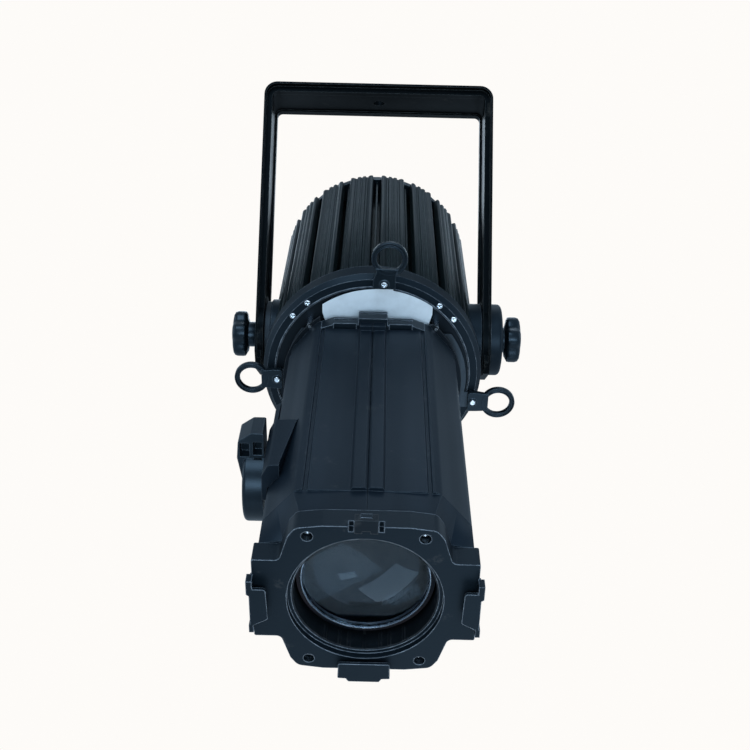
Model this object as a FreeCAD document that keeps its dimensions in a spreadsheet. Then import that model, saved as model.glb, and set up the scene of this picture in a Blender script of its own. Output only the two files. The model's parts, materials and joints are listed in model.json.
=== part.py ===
"""Ellipsoidal stage spotlight: yoke, finned lamp housing, shutters, two-shell lens barrel and front plate.

Row frame: the origin is the middle of the clamp hole in the yoke's top bar, +Z points up out of that hole,
-Y is the front and +X is the right-hand side seen from the front. Units are millimetres.

The head is drawn in its own frame: its optical axis is Y, the front plate's face is at Y = 0 and the cap
is at large Y. HEAD then tips it nose-down about the pivot axis, which is parallel to X.
"""
import FreeCAD
import Part
import Sketcher
import math
import os

Vector = FreeCAD.Vector
X_AXIS = Vector(1, 0, 0)
Y_AXIS = Vector(0, 1, 0)
Z_AXIS = Vector(0, 0, 1)

SIZES = {
    # yoke, measured inwards from its outer skin
    "tilt_angle": 38.3,
    "yoke_half_width": 124.0,
    "yoke_top": 3.0,
    "yoke_drop": 271.7,
    "yoke_depth": 82.0,
    "yoke_skin": 2.2,
    "yoke_web": 6.0,
    "yoke_rim": 8.2,
    "yoke_body_depth": 68.0,
    "yoke_rim_width": 9.0,
    "yoke_corner": 14.0,
    "clamp_hole_radius": 6.5,
    # pivots
    "pivot_y": 418.0,
    "stud_radius": 5.0,
    "bush_bore": 5.06,
    "bush_radius": 8.0,
    "boss_radius": 38.5,
    "boss_root": 100.0,
    "left_boss_face": 109.4,
    "right_boss_face": 115.4,
    "clutch_thickness": 13.0,
    "knob_stem_radius": 13.5,
    "knob_radius": 25.0,
    "knob_thickness": 16.5,
    # finned housing
    "tube_radius": 84.0,
    "tube_wall": 3.5,
    "rib_radius": 108.4,
    "rib_half_width": 13.6,
    "rib_count": 18,
    "housing_front": 360.0,
    "housing_back": 626.0,
    # flange and gate
    "flange_front": 337.6,
    "flange_bore": 98.0,
    "flange_radius": 111.5,
    "bulkhead_front": 338.0,
    "bulkhead_thickness": 3.0,
    "gate_radius": 33.0,
    "gate_front": 306.0,
    "gate_back": 321.5,
    "pattern_slot_front": 316.0,
    "pattern_slot_depth": 2.4,
    "guide_thickness": 2.0,
    "guide_radius": 90.0,
    "post_offset": 62.0,
    "post_radius": 3.0,
    "post_pin_radius": 1.5,
    # shutters
    "blade_thickness": 1.0,
    "blade_pitch": 1.7,
    "first_blade": 330.0,
    "blade_half_width": 54.0,
    "blade_edge": 96.0,
    "ring_centre": 130.0,
    "ring_radius": 17.5,
    "ring_bore": 12.2,
    "tab_end": 111.0,
    "handle_screw": 104.0,
    "stem_end": 99.0,
    "stem_half_width": 11.0,
    "handle_thickness": 6.0,
    # barrel
    "barrel_front": 20.0,
    "collar_back": 46.0,
    "barrel_back": 306.0,
    "barrel_wall": 3.0,
    "barrel_half_width": 82.0,
    "barrel_top": 69.0,
    "ridge_top": 72.0,
    # lens tube and focus
    "lens_tube_radius": 54.0,
    "lens_tube_bore": 51.5,
    "lens_tube_front": 25.0,
    "lens_tube_back": 188.0,
    "focus_y": 150.0,
    "focus_travel": 50.0,
    "focus_stud_radius": 4.0,
    "focus_drum_radius": 35.0,
    "focus_drum_near": 89.0,
    "focus_drum_far": 107.0,
    # front plate
    "plate_thickness": 8.0,
    "plate_depth": 20.0,
    "plate_wall": 4.0,
    "bore_radius": 59.4,
    "wing_half_width": 85.0,
    "wing_half_height": 37.5,
    "plate_screw_x": 43.25,
    "plate_screw_z": 60.6,
    # rear cap
    "cap_back": 650.0,
    "cap_wall": 3.0,
    "panel_front": 645.0,
}

doc = FreeCAD.newDocument("Spotlight")
sheet = doc.addObject("Spreadsheet::Sheet", "Sizes")
for row, (alias, number) in enumerate(SIZES.items(), start=1):
    sheet.set(f"A{row}", alias)
    sheet.set(f"B{row}", str(number))
    sheet.setAlias(f"B{row}", alias)
doc.recompute()


def size(alias):
    """The number in the sheet's cell of that name."""
    return float(sheet.get(alias))


def cell(alias):
    """The expression that reads the sheet's cell of that name."""
    return f"Sizes.{alias}"


TILT = size("tilt_angle")
PIVOT_Z = size("yoke_top") - size("yoke_drop")
ROW = FreeCAD.Placement()
HEAD = FreeCAD.Placement(Vector(0, 0, PIVOT_Z), FreeCAD.Rotation(X_AXIS, TILT)) * FreeCAD.Placement(
    Vector(0, -size("pivot_y"), 0), FreeCAD.Rotation())

SCREW_CIRCLE = 103.4
LATCH_Y = 3.0
LATCH_Z = 76.8
LATCH_PIN = 1.2

# the shutters: angle about the optical axis, how far blade, stem and ring stand off their middle line, their
# layer from the front and how far each is already pushed in
SHUTTERS = {
    "top": {"angle": 0, "blade": 4.0, "stem": 10.0, "ring": 14.5, "layer": 0, "pushed": -4.0},
    "right": {"angle": 90, "blade": 4.0, "stem": 26.0, "ring": 27.0, "layer": 3},
    "bottom": {"angle": 180, "blade": 0.0, "stem": -6.0, "ring": -8.0, "layer": 1},
    "left": {"angle": 270, "blade": 0.0, "stem": -3.0, "ring": -3.0, "layer": 2, "pushed": 7.5},
}

# places on the rear panel, as (x, z)
BUTTONS = {"menu": -24.0, "down": -8.0, "up": 8.0, "enter": 24.0}
BUTTON_Z = 10.0
INLET = (-46.0, -30.0)
DATA_SOCKETS = {"data_in": 0.0, "data_out": 34.0}
DATA_Z = -34.0
FUSE = (-10.0, -64.0)
EYE_Z = 66.0

nodes = []


# ---------------------------------------------------------------- helpers

def register(piece, label, placement=HEAD):
    """Gives a finished sub-part its name and its place, and lists it for export."""
    piece.Label = label
    piece.Placement = placement
    nodes.append(piece)
    return piece


def origin_plane(body, role):
    """One of a body's own origin planes."""
    return next(item for item in body.Origin.OriginFeatures if item.Role == role)


def sketch_on(body, role, offset=0.0):
    """A sketch on one of the body's origin planes, moved along the plane's normal by a number or a cell."""
    sketch = body.newObject("Sketcher::SketchObject", f"{body.Name}_sketch")
    sketch.AttachmentSupport = (origin_plane(body, role), [""])
    sketch.MapMode = "FlatFace"
    if isinstance(offset, str):
        sketch.setExpression("AttachmentOffset.Base.z", offset)
    else:
        sketch.AttachmentOffset = FreeCAD.Placement(Vector(0, 0, offset), FreeCAD.Rotation())
    return sketch


def draw(sketch, *wires):
    """Adds closed outlines to a sketch. A corner is (x, y), or (x, y, r) where it is rounded."""
    for wire in wires:
        for edge in rounded_outline(wire):
            sketch.addGeometry(edge, False)


def draw_circle(sketch, x, y, radius):
    """Adds a circle; its radius is a number or an expression."""
    index = sketch.addGeometry(Part.Circle(Vector(x, y, 0), Z_AXIS, 1.0), False)
    start = radius if not isinstance(radius, str) else 1.0
    constraint = sketch.addConstraint(Sketcher.Constraint("Radius", index, start))
    if isinstance(radius, str):
        sketch.setExpression(f"Constraints[{constraint}]", radius)


def rounded_outline(corners):
    """The lines and arcs of a closed outline whose corners may be rounded."""
    points = []
    count = len(corners)
    for index, corner in enumerate(corners):
        here = Vector(corner[0], corner[1], 0)
        radius = corner[2] if len(corner) > 2 else 0.0
        if radius == 0.0:
            points.append((here, here, None))
            continue
        before = Vector(*corners[index - 1][:2], 0) - here
        after = Vector(*corners[(index + 1) % count][:2], 0) - here
        before.normalize()
        after.normalize()
        half = before.getAngle(after) / 2
        setback = radius / math.tan(half)
        middle = before + after
        middle.normalize()
        centre = here + middle * (radius / math.sin(half))
        top = centre - middle * radius
        points.append((here + before * setback, here + after * setback, top))
    edges = []
    for index, (start, end, middle) in enumerate(points):
        if middle is not None:
            edges.append(Part.Arc(start, middle, end))
        following = points[(index + 1) % count][0]
        if end.distanceToPoint(following) > 1e-6:
            edges.append(Part.LineSegment(end, following))
    return edges


def mirrored(half):
    """A half outline and its mirror image across the vertical axis, as one closed outline."""
    return half + [(-corner[0], *corner[1:]) for corner in reversed(half)]


def grow(body, kind, sketch, length, reverse=False, both=False):
    """A Pad or Pocket of a sketch; the length is a number or an expression."""
    feature = body.newObject(f"PartDesign::{kind}", f"{body.Name}_{kind.lower()}")
    feature.Profile = sketch
    if isinstance(length, str):
        feature.setExpression("Length", length)
    else:
        feature.Length = length
    feature.Reversed = reverse
    if both:
        feature.SideType = "Symmetric"
    body.Tip = feature
    return feature


def slab(label, start, depth, wires, circles=(), placement=HEAD):
    """A plate of constant section across the optical axis, from Y = start, running rearwards by depth."""
    body = doc.addObject("PartDesign::Body", label)
    sketch = sketch_on(body, "XZ_Plane", f"-({start})" if isinstance(start, str) else -start)
    draw(sketch, *wires)
    for x, z, radius in circles:
        draw_circle(sketch, x, z, radius)
    grow(body, "Pad", sketch, depth, reverse=True)
    return register(body, label, placement)


def pocket(body, role, offset, length, wires=(), circles=(), reverse=False, both=False):
    """Removes a prism from a body and makes sure that it really removed something."""
    doc.recompute()
    before = body.Shape.Volume
    sketch = sketch_on(body, role, offset)
    draw(sketch, *wires)
    for x, y, radius in circles:
        draw_circle(sketch, x, y, radius)
    feature = grow(body, "Pocket", sketch, length, reverse, both)
    doc.recompute()
    if body.Shape.Volume > before - 0.1:
        raise ValueError(f"a pocket in {body.Label} removes nothing")
    return feature


def add_pad(body, role, offset, length, wires=(), circles=(), reverse=False, both=False):
    """Adds a prism to a body."""
    sketch = sketch_on(body, role, offset)
    draw(sketch, *wires)
    for x, y, radius in circles:
        draw_circle(sketch, x, y, radius)
    return grow(body, "Pad", sketch, length, reverse, both)


def turned(label, profile, placement=HEAD):
    """A body turned about the optical axis; the profile's corners are (radius, y)."""
    body = doc.addObject("PartDesign::Body", label)
    sketch = sketch_on(body, "XY_Plane")
    draw(sketch, profile)
    feature = body.newObject("PartDesign::Revolution", f"{label}_turn")
    feature.Profile = sketch
    feature.ReferenceAxis = (sketch, ["V_Axis"])
    feature.Angle = 360
    body.Tip = feature
    return register(body, label, placement)


def rod(name, radius, length, base, axis):
    """A Part cylinder; radius and length are numbers or expressions."""
    piece = doc.addObject("Part::Cylinder", name)
    for prop, number in (("Radius", radius), ("Height", length)):
        if isinstance(number, str):
            piece.setExpression(prop, number)
        else:
            setattr(piece, prop, number)
    piece.Placement = FreeCAD.Placement(base, FreeCAD.Rotation(Z_AXIS, axis))
    return piece


def block(name, low, high):
    """A Part box between two corners."""
    piece = doc.addObject("Part::Box", name)
    piece.Length = high[0] - low[0]
    piece.Width = high[1] - low[1]
    piece.Height = high[2] - low[2]
    piece.Placement.Base = Vector(*low)
    return piece


def united(name, *pieces):
    """The union of several Part objects."""
    piece = doc.addObject("Part::MultiFuse", name)
    piece.Shapes = list(pieces)
    return piece


def minus(name, base, *tools):
    """A Part object with others cut out of it."""
    piece = doc.addObject("Part::Cut", name)
    piece.Base = base
    piece.Tool = tools[0] if len(tools) == 1 else united(f"{name}_tools", *tools)
    return piece


def solid(label, shape, placement=HEAD):
    """A Part::Feature for shapes that the other tools don't suit."""
    piece = doc.addObject("Part::Feature", label)
    piece.Shape = shape
    return register(piece, label, placement)


def prism(outline, start, depth):
    """A plain prism across the optical axis, from Y = start, running rearwards by depth."""
    edges = [edge.toShape() for edge in rounded_outline(outline)]
    face = Part.Face(Part.Wire(edges))
    face.rotate(Vector(0, 0, 0), X_AXIS, 90)
    face.translate(Vector(0, start, 0))
    return face.extrude(Vector(0, depth, 0))


def cross_screw(base, axis, head_radius, head_height, shank_radius, shank_length):
    """A pan-head screw with a cross recess; the head stands on base and points along axis."""
    head = Part.makeCylinder(head_radius, head_height)
    head = head.makeFillet(head_height * 0.45, [head.Edges[0]])
    arm = head_radius * 0.62
    slot = head_radius * 0.17
    depth = head_height * 0.6
    for long_x, long_y in ((arm, slot), (slot, arm)):
        recess = Part.makeBox(2 * long_x, 2 * long_y, depth, Vector(-long_x, -long_y, head_height - depth))
        head = head.cut(recess)
    shank = Part.makeCylinder(shank_radius, shank_length, Vector(0, 0, -shank_length))
    screw = head.fuse(shank).removeSplitter()
    screw.Placement = FreeCAD.Placement(base, FreeCAD.Rotation(Z_AXIS, axis))
    return screw


def screws(label, bases, axis, head_radius, head_height, shank_radius, shank_length, placement=HEAD):
    """One or more identical screws as separate solids of one sub-part."""
    made = [cross_screw(base, axis, head_radius, head_height, shank_radius, shank_length) for base in bases]
    return solid(label, Part.makeCompound(made), placement)


# ---------------------------------------------------------------- yoke

def yoke_loop(outer, inner, bottom):
    """The yoke's bent-strip outline between two depths below its outer skin."""
    half = size("yoke_half_width")
    top = size("yoke_top")
    corner = size("yoke_corner")
    outside = [(half - outer, bottom), (half - outer, top - outer, corner - outer)]
    inside = [(half - inner, top - inner, corner - inner), (half - inner, bottom)]
    left_outside = [(-x, z, *r) for x, z, *r in reversed(outside)]
    left_inside = [(-x, z, *r) for x, z, *r in reversed(inside)]
    return outside + left_outside + left_inside + inside


def make_yoke():
    """The bracket, its pivot bushes and the thick clutch disc outside the right arm."""
    half = size("yoke_half_width")
    rim = size("yoke_rim")
    eye = size("yoke_depth") / 2
    bottom = PIVOT_Z - eye
    body = doc.addObject("PartDesign::Body", "yoke_bracket")
    skin = yoke_loop(0.0, size("yoke_skin"), bottom)
    add_pad(body, "XZ_Plane", 0.0, cell("yoke_depth"), [skin], both=True)
    add_pad(body, "XZ_Plane", 0.0, cell("yoke_body_depth"),
            [yoke_loop(size("yoke_skin"), size("yoke_web"), bottom)], both=True)
    edge = size("yoke_body_depth") / 2
    for offset in (edge, size("yoke_rim_width") - edge):
        add_pad(body, "XZ_Plane", offset, cell("yoke_rim_width"),
                [yoke_loop(size("yoke_web"), rim, PIVOT_Z)], reverse=True)
    for offset in (-half, half - rim):
        add_pad(body, "YZ_Plane", offset, rim, circles=[(0, PIVOT_Z, eye)])
    far = eye + 5
    for side in (1, -1):
        corner = [(side * far, PIVOT_Z), (side * eye, PIVOT_Z), (side * eye, bottom + eye * 0.42, 0.0),
                  (side * eye * 0.58, bottom), (0, bottom), (0, bottom - 5), (side * far, bottom - 5)]
        pocket(body, "YZ_Plane", 0.0, 2 * half + 10, [corner], both=True)
    hole = cell("clamp_hole_radius")
    pocket(body, "XY_Plane", 10.0, 30.0, circles=[(0, 0, hole)])
    pocket(body, "YZ_Plane", 0.0, 2 * half + 10, circles=[(0, PIVOT_Z, cell("bush_radius"))], both=True)
    register(body, "yoke_bracket", ROW)

    bushes = []
    for name, start in (("left", -half - 0.1), ("right", half - rim)):
        outer = rod(f"bush_outer_{name}", cell("bush_radius"), rim + 0.1, Vector(start, 0, PIVOT_Z), X_AXIS)
        bore = rod(f"bush_bore_{name}", cell("bush_bore"), rim + 3, Vector(start - 1, 0, PIVOT_Z), X_AXIS)
        bushes.append(minus(f"bush_{name}", outer, bore))
    pair = doc.addObject("Part::Compound", "pivot_bushes")
    pair.Links = bushes
    register(pair, "pivot_bushes", ROW)

    thick = size("clutch_thickness")
    disc = rod("clutch_blank", cell("boss_radius"), thick, Vector(half + 0.1, 0, PIVOT_Z), X_AXIS)
    doc.recompute()
    rim_edge = [edge for edge in disc.Shape.Edges
                if abs(edge.CenterOfMass.x - (half + 0.1 + thick)) < 0.01][0]
    shaped = disc.Shape.makeFillet(4.5, [rim_edge])
    recess = Part.makeCylinder(20, 2, Vector(half + thick - 1.5, 0, PIVOT_Z), X_AXIS)
    bore = Part.makeCylinder(size("bush_bore"), thick + 4, Vector(half - 1, 0, PIVOT_Z), X_AXIS)
    solid("clutch_disc", shaped.cut(recess).cut(bore), ROW)
    doc.removeObject(disc.Name)


# ---------------------------------------------------------------- tilt knobs and pivots

def lobed_outline(radius, lobes, depth):
    """A closed wavy outline for a knob that is gripped by its lobes."""
    count = lobes * 2
    points = []
    for index in range(count * 2):
        angle = math.pi * index / count
        reach = radius - depth * (1 - math.cos(angle * lobes)) / 2
        points.append(Vector(0, reach * math.cos(angle), reach * math.sin(angle)))
    curve = Part.BSplineCurve()
    curve.interpolate(points, PeriodicFlag=True)
    return Part.Face(Part.Wire(curve.toShape()))


def make_pivots():
    """Studs, bosses, the left friction disc and the two tilt knobs."""
    half = size("yoke_half_width")
    outer = {"left": half + 12.0, "right": half + 0.1 + size("clutch_thickness") + 6.0}
    inner = {"left": half + 0.4, "right": half + 0.4 + size("clutch_thickness")}
    face = {"left": size("left_boss_face"), "right": size("right_boss_face")}
    studs = []
    for side, sign in (("left", -1), ("right", 1)):
        axis = Vector(sign, 0, 0)
        length = outer[side] + 9.0 - size("boss_root")
        base = Vector(sign * (size("boss_root") + 0.2), size("pivot_y"), 0)
        boss = Part.makeCylinder(size("boss_radius"), face[side] - size("boss_root") - 0.2, base, axis)
        top_edges = [edge for edge in boss.Edges if abs(abs(edge.CenterOfMass.x) - face[side]) < 0.01]
        boss = boss.makeChamfer(1.2, top_edges)
        bore = Part.makeCylinder(size("stud_radius"), 60, base - axis * 5, axis)
        solid(f"{side}_pivot_boss", boss.cut(bore))
        studs.append(rod(f"{side}_stud", cell("stud_radius"), length, base, axis))

        centre = Vector(0, size("pivot_y"), 0)
        stem = Part.makeCylinder(size("knob_stem_radius"), outer[side] - inner[side] + 1,
                                 centre + axis * inner[side], axis)
        grip = lobed_outline(size("knob_radius"), 5, 6.0)
        grip.translate(centre + axis * outer[side])
        grip = grip.extrude(axis * size("knob_thickness"))
        dome = Part.makeSphere(46.0, centre + axis * (outer[side] + size("knob_thickness") - 46.0))
        grip = grip.common(dome)
        collar = Part.makeCylinder(19.5, 5.0, centre + axis * (outer[side] - 4.0), axis)
        bore = Part.makeCylinder(size("bush_bore"), length, centre + axis * (inner[side] - 1), axis)
        knob = stem.fuse(collar).fuse(grip).cut(bore.common(Part.makeBox(
            2 * (outer[side] + 9.3), 900, 200, Vector(-(outer[side] + 9.3), 0, -100))))
        solid(f"{side}_tilt_knob", knob.removeSplitter())

    pair = doc.addObject("Part::Compound", "pivot_studs")
    pair.Links = studs
    register(pair, "pivot_studs")

    disc = Part.makeCylinder(36.0, 6.0, Vector(-size("left_boss_face"), size("pivot_y"), 0), -X_AXIS)
    disc = disc.makeChamfer(1.0, [edge for edge in disc.Edges if edge.CenterOfMass.x < -115.0])
    bore = Part.makeCylinder(size("stud_radius"), 20, Vector(-100, size("pivot_y"), 0), -X_AXIS)
    solid("left_friction_disc", disc.cut(bore))


# ---------------------------------------------------------------- finned housing

def make_housing():
    """The extruded shell: a tube, eighteen broad fluted ribs and a thin fin in every gap."""
    front = size("housing_front")
    length = size("housing_back") - front
    body = doc.addObject("PartDesign::Body", "finned_housing")
    tube = size("tube_radius")
    add_pad(body, "XZ_Plane", -(front - 8.0), length + 8.0,
            circles=[(0, 0, cell("tube_radius")), (0, 0, f"{cell('tube_radius')} - {cell('tube_wall')}")],
            reverse=True)
    crown = size("rib_radius")
    root = tube - 1.0
    edge = size("rib_half_width")
    # half of one rib's section: stem, underside, turned-down edge and three flutes on the crown
    half = [(1.5, root), (1.5, crown - 4.6, 1.5), (edge - 2.4, crown - 4.8), (edge - 1.4, crown - 8.0, 0.3),
            (edge, crown - 8.0, 0.5), (edge, crown - 1.0, 1.4), (10.8, crown - 0.4, 1.0),
            (8.2, crown - 1.3), (7.2, crown - 2.3), (5.6, crown - 2.3), (4.6, crown - 0.5),
            (1.6, crown - 0.5), (0.8, crown - 1.6)]
    rib = mirrored(half)
    step = 360.0 / size("rib_count")
    turn = math.radians(step / 2)

    def turned_wire(wire, angle):
        """A section turned about the optical axis."""
        return [(x * math.cos(angle) + y * math.sin(angle), y * math.cos(angle) - x * math.sin(angle), *r)
                for x, y, *r in wire]

    rib_pad = add_pad(body, "XZ_Plane", -front, length, [turned_wire(rib, turn)], reverse=True)
    fin = [(-1.0, root), (-1.0, 99.0), (1.0, 99.0), (1.0, root)]
    fin_pad = add_pad(body, "XZ_Plane", -front, length, [fin], reverse=True)
    pattern = body.newObject("PartDesign::PolarPattern", "rib_ring")
    pattern.Originals = [rib_pad, fin_pad]
    pattern.Axis = (rib_pad.Profile[0], ["N_Axis"])
    pattern.Angle = 360
    pattern.Occurrences = int(size("rib_count"))
    body.Tip = pattern
    for offset, away in ((size("boss_root"), True), (-size("boss_root"), False)):
        pocket(body, "YZ_Plane", offset, 30.0,
               circles=[(size("pivot_y"), 0, f"{cell('boss_radius')} + 0.4")], reverse=away)
    register(body, "finned_housing")


def flange_screws_at():
    """Where the flange's screws stand, as (x, z)."""
    places = []
    for angle in (39.0, 50.5):
        for quadrant in (angle, -angle, 180 - angle, 180 + angle):
            across = SCREW_CIRCLE * math.sin(math.radians(quadrant))
            places.append((across, SCREW_CIRCLE * math.cos(math.radians(quadrant))))
    return places


def plate_screws_at():
    """Where the front plate's corner screws stand, as (x, z)."""
    across = size("plate_screw_x")
    high = size("plate_screw_z")
    return [(x, z) for x in (-across, across) for z in (-high, high)]


def make_casing_screws():
    """The screws that hold the flange and the front plate."""
    front = size("flange_front")
    made = [cross_screw(Vector(x, front, z), -Y_AXIS, 3.1, 1.9, 1.5, 9.0) for x, z in flange_screws_at()]
    made += [cross_screw(Vector(x, 9.0, z), -Y_AXIS, 3.8, 2.4, 2.1, 16.0) for x, z in plate_screws_at()]
    solid("casing_screws", Part.makeCompound(made))


def make_flange():
    """The cast ring in front of the ribs, its screws and the bulkhead disc that carries the gate."""
    front = size("flange_front")
    bore = size("flange_bore")
    edge = size("flange_radius")
    back = size("housing_front") - 0.1
    seat = size("bulkhead_front") + size("bulkhead_thickness")
    flange = turned("front_flange", [
        (bore, front - 0.8), (bore + 1.5, front - 0.8), (bore + 1.5, front), (edge - 4.5, front),
        (edge, front + 5.0),
        (edge, back), (size("tube_radius") + 0.1, back), (size("tube_radius") + 0.1, back - 7.9),
        (80.6, back - 7.9), (80.6, seat + 0.1), (bore, seat + 0.1)])
    pocket(flange, "XZ_Plane", -front + 1, 12.0, circles=[(x, z, 1.6) for x, z in flange_screws_at()])
    bulkhead = slab("gate_bulkhead", cell("bulkhead_front"), cell("bulkhead_thickness"), [],
                    [(0, 0, f"{cell('flange_bore')} - 0.1"), (0, 0, cell("gate_radius"))])
    holes = [(x, z, 1.6) for x, z in posts_at()]
    pocket(bulkhead, "XZ_Plane", -size("bulkhead_front") + 1, 12.0, circles=holes)


# ---------------------------------------------------------------- gate, shutters and pattern holder

def posts_at():
    """The four corners where posts hold the shutter guide off the bulkhead."""
    offset = size("post_offset")
    return [(x, z) for x in (-offset, offset) for z in (-offset, offset)]


def octagon(half_width, half_height):
    """The barrel's section grown or shrunk: flat top and bottom, sloping shoulders, upright sides."""
    side = 37.0 * half_height / size("barrel_top")
    upper = [(half_width, side, 14.0), (half_width - 25.5, half_height - 2.0, 7.0),
             (half_width - 30.5, half_height)]
    right = [(x, -z, *r) for x, z, *r in reversed(upper)] + upper
    return mirrored(right)


def make_gate():
    """The casting between barrel and shutters, the shutter guide plate, its posts and the pattern holder."""
    start = size("gate_front") + 0.1
    back = size("gate_back")
    casting = slab("gate_casting", start, back - start,
                   [octagon(size("barrel_half_width") - 1.0, size("barrel_top") - 0.5)], [(0, 0, 40.0)])
    # a raised top, a hump in its middle and a groove each side of the hump
    crown = [(14.0, 60.0), (50.0, 60.0), (50.0, 69.0), (38.0, 73.5), (14.0, 73.5), (14.0, 80.5, 1.0)]
    add_pad(casting, "XZ_Plane", -start, back - start, [mirrored(crown)], reverse=True)
    for sign in (-1, 1):
        groove = [(sign * 16.0, 62.0), (sign * 38.0, 62.0), (sign * 38.0, 80.0), (sign * 16.0, 80.0)]
        pocket(casting, "XZ_Plane", -start + 1, 3.6, [groove])
    slot = [(-38.0, -40.0), (38.0, -40.0), (38.0, 84.0), (-38.0, 84.0)]
    slot_front = size("pattern_slot_front")
    pocket(casting, "XZ_Plane", -slot_front, size("pattern_slot_depth"), [slot])

    guide_depth = size("guide_thickness")
    plate = slab("shutter_guide", back, guide_depth, [],
                 [(0, 0, cell("guide_radius")), (0, 0, f"{cell('gate_radius')} + 2")])
    # the top blade shows through a window in the guide's upper edge
    window = [(-52.0, 100.0), (60.0, 100.0), (60.0, 67.0, 3.0), (-52.0, 67.0, 3.0)]
    pocket(plate, "XZ_Plane", -back + 1, 4.0, [window])
    pocket(plate, "XZ_Plane", -back + 1, 4.0, circles=[(x, z, 1.6) for x, z in posts_at()])

    length = size("bulkhead_front") - back - guide_depth
    posts = []
    for x, z in posts_at():
        base = Vector(x, back + guide_depth, z)
        post = Part.makeCylinder(size("post_radius"), length, base, Y_AXIS)
        pin = Part.makeCylinder(size("post_pin_radius"), length + 5.0, base - Y_AXIS * guide_depth, Y_AXIS)
        posts.append(post.fuse(pin).removeSplitter())
    solid("shutter_posts", Part.makeCompound(posts))

    grip = [(12.0, 79.0, 3.0), (12.0, 66.0), (36.5, 66.0), (36.5, -38.5, 6.0)]
    slab("pattern_holder", slot_front + 0.6, 1.2, [mirrored(grip)], [(0, 0, 31.0)])


def make_shutter(side, angle, blade, stem, ring, layer, pushed=0.0):
    """One shutter: blade, ring handle and screw, drawn pointing up and turned into place."""
    plane = size("first_blade") + layer * size("blade_pitch")
    half = size("blade_half_width")
    edge = size("blade_edge")
    ring_z = size("ring_centre")
    screw_z = size("handle_screw")
    tab_end = size("tab_end")
    width = size("stem_half_width")
    turn = FreeCAD.Placement(Vector(0, 0, 0), FreeCAD.Rotation(Y_AXIS, angle))
    place = HEAD * turn * FreeCAD.Placement(Vector(0, 0, -pushed), FreeCAD.Rotation())

    body = doc.addObject("PartDesign::Body", f"{side}_blade")
    sketch = sketch_on(body, "XZ_Plane", -plane)
    corner_z = math.sqrt(edge ** 2 - half ** 2)
    low = size("gate_radius") + 1.5
    right = [Vector(blade + half, corner_z - 1.0, 0), Vector(blade + half, 70.0, 0),
             Vector(blade + 44.0, low, 0)]
    left = [Vector(2 * blade - point.x, point.y, 0) for point in reversed(right)]
    points = right + left
    for first, second in zip(points, points[1:]):
        sketch.addGeometry(Part.LineSegment(first, second), False)
    sketch.addGeometry(Part.Arc(points[-1], Vector(blade, edge, 0), points[0]), False)
    grow(body, "Pad", sketch, cell("blade_thickness"), reverse=True)
    tab_left = stem - width + 2
    tab_right = stem + width - 2
    tab = [(tab_right, edge - 10.0), (tab_right, tab_end, 3.0), (tab_left, tab_end, 3.0),
           (tab_left, edge - 10.0)]
    add_pad(body, "XZ_Plane", -plane, cell("blade_thickness"), [tab], reverse=True)
    pocket(body, "XZ_Plane", -plane + 1, 4.0, circles=[(stem, screw_z, 1.6)])
    register(body, f"{side}_blade", place)

    thick = size("handle_thickness")
    front = plane - thick + 0.9
    middle = (stem + ring) / 2
    body = doc.addObject("PartDesign::Body", f"{side}_shutter_handle")
    add_pad(body, "XZ_Plane", -front, plane - front,
            [[(stem - width, size("stem_end"), 2.0), (stem + width, size("stem_end"), 2.0),
              (middle + width * 0.88, ring_z - 11.0), (middle - width * 0.88, ring_z - 11.0)]], reverse=True)
    add_pad(body, "XZ_Plane", -front, thick, circles=[(ring, ring_z, cell("ring_radius"))], reverse=True)
    pocket(body, "XZ_Plane", -front + 1, thick + 4, circles=[(ring, ring_z, cell("ring_bore"))])
    # the moulding is thinner between its outer and inner beads
    groove = [f"{cell('ring_radius')} - 1.3", f"{cell('ring_bore')} + 1.4"]
    pocket(body, "XZ_Plane", -front + 1, 2.0, circles=[(ring, ring_z, radius) for radius in groove])
    pocket(body, "XZ_Plane", -front + 1, 12.0, circles=[(stem, screw_z, 1.6)])
    register(body, f"{side}_shutter_handle", place)

    screws(f"{side}_shutter_screw", [Vector(stem, front, screw_z)], -Y_AXIS, 3.0, 1.8, 1.5, 5.5, place)


# ---------------------------------------------------------------- barrel

def half_section(points, sign):
    """A half shell's section: its outer corners, then the same corners moved inwards by the wall."""
    wall = size("barrel_wall")
    gap = points[0][0]
    inner = [(max(x - wall, gap), z - math.copysign(wall, z)) for x, z in points[1:-1]]
    inner = [(gap, points[0][1] + wall)] + inner + [(gap, points[-1][1] - wall)]
    return [(sign * x, z) for x, z in points + list(reversed(inner))]


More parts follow.
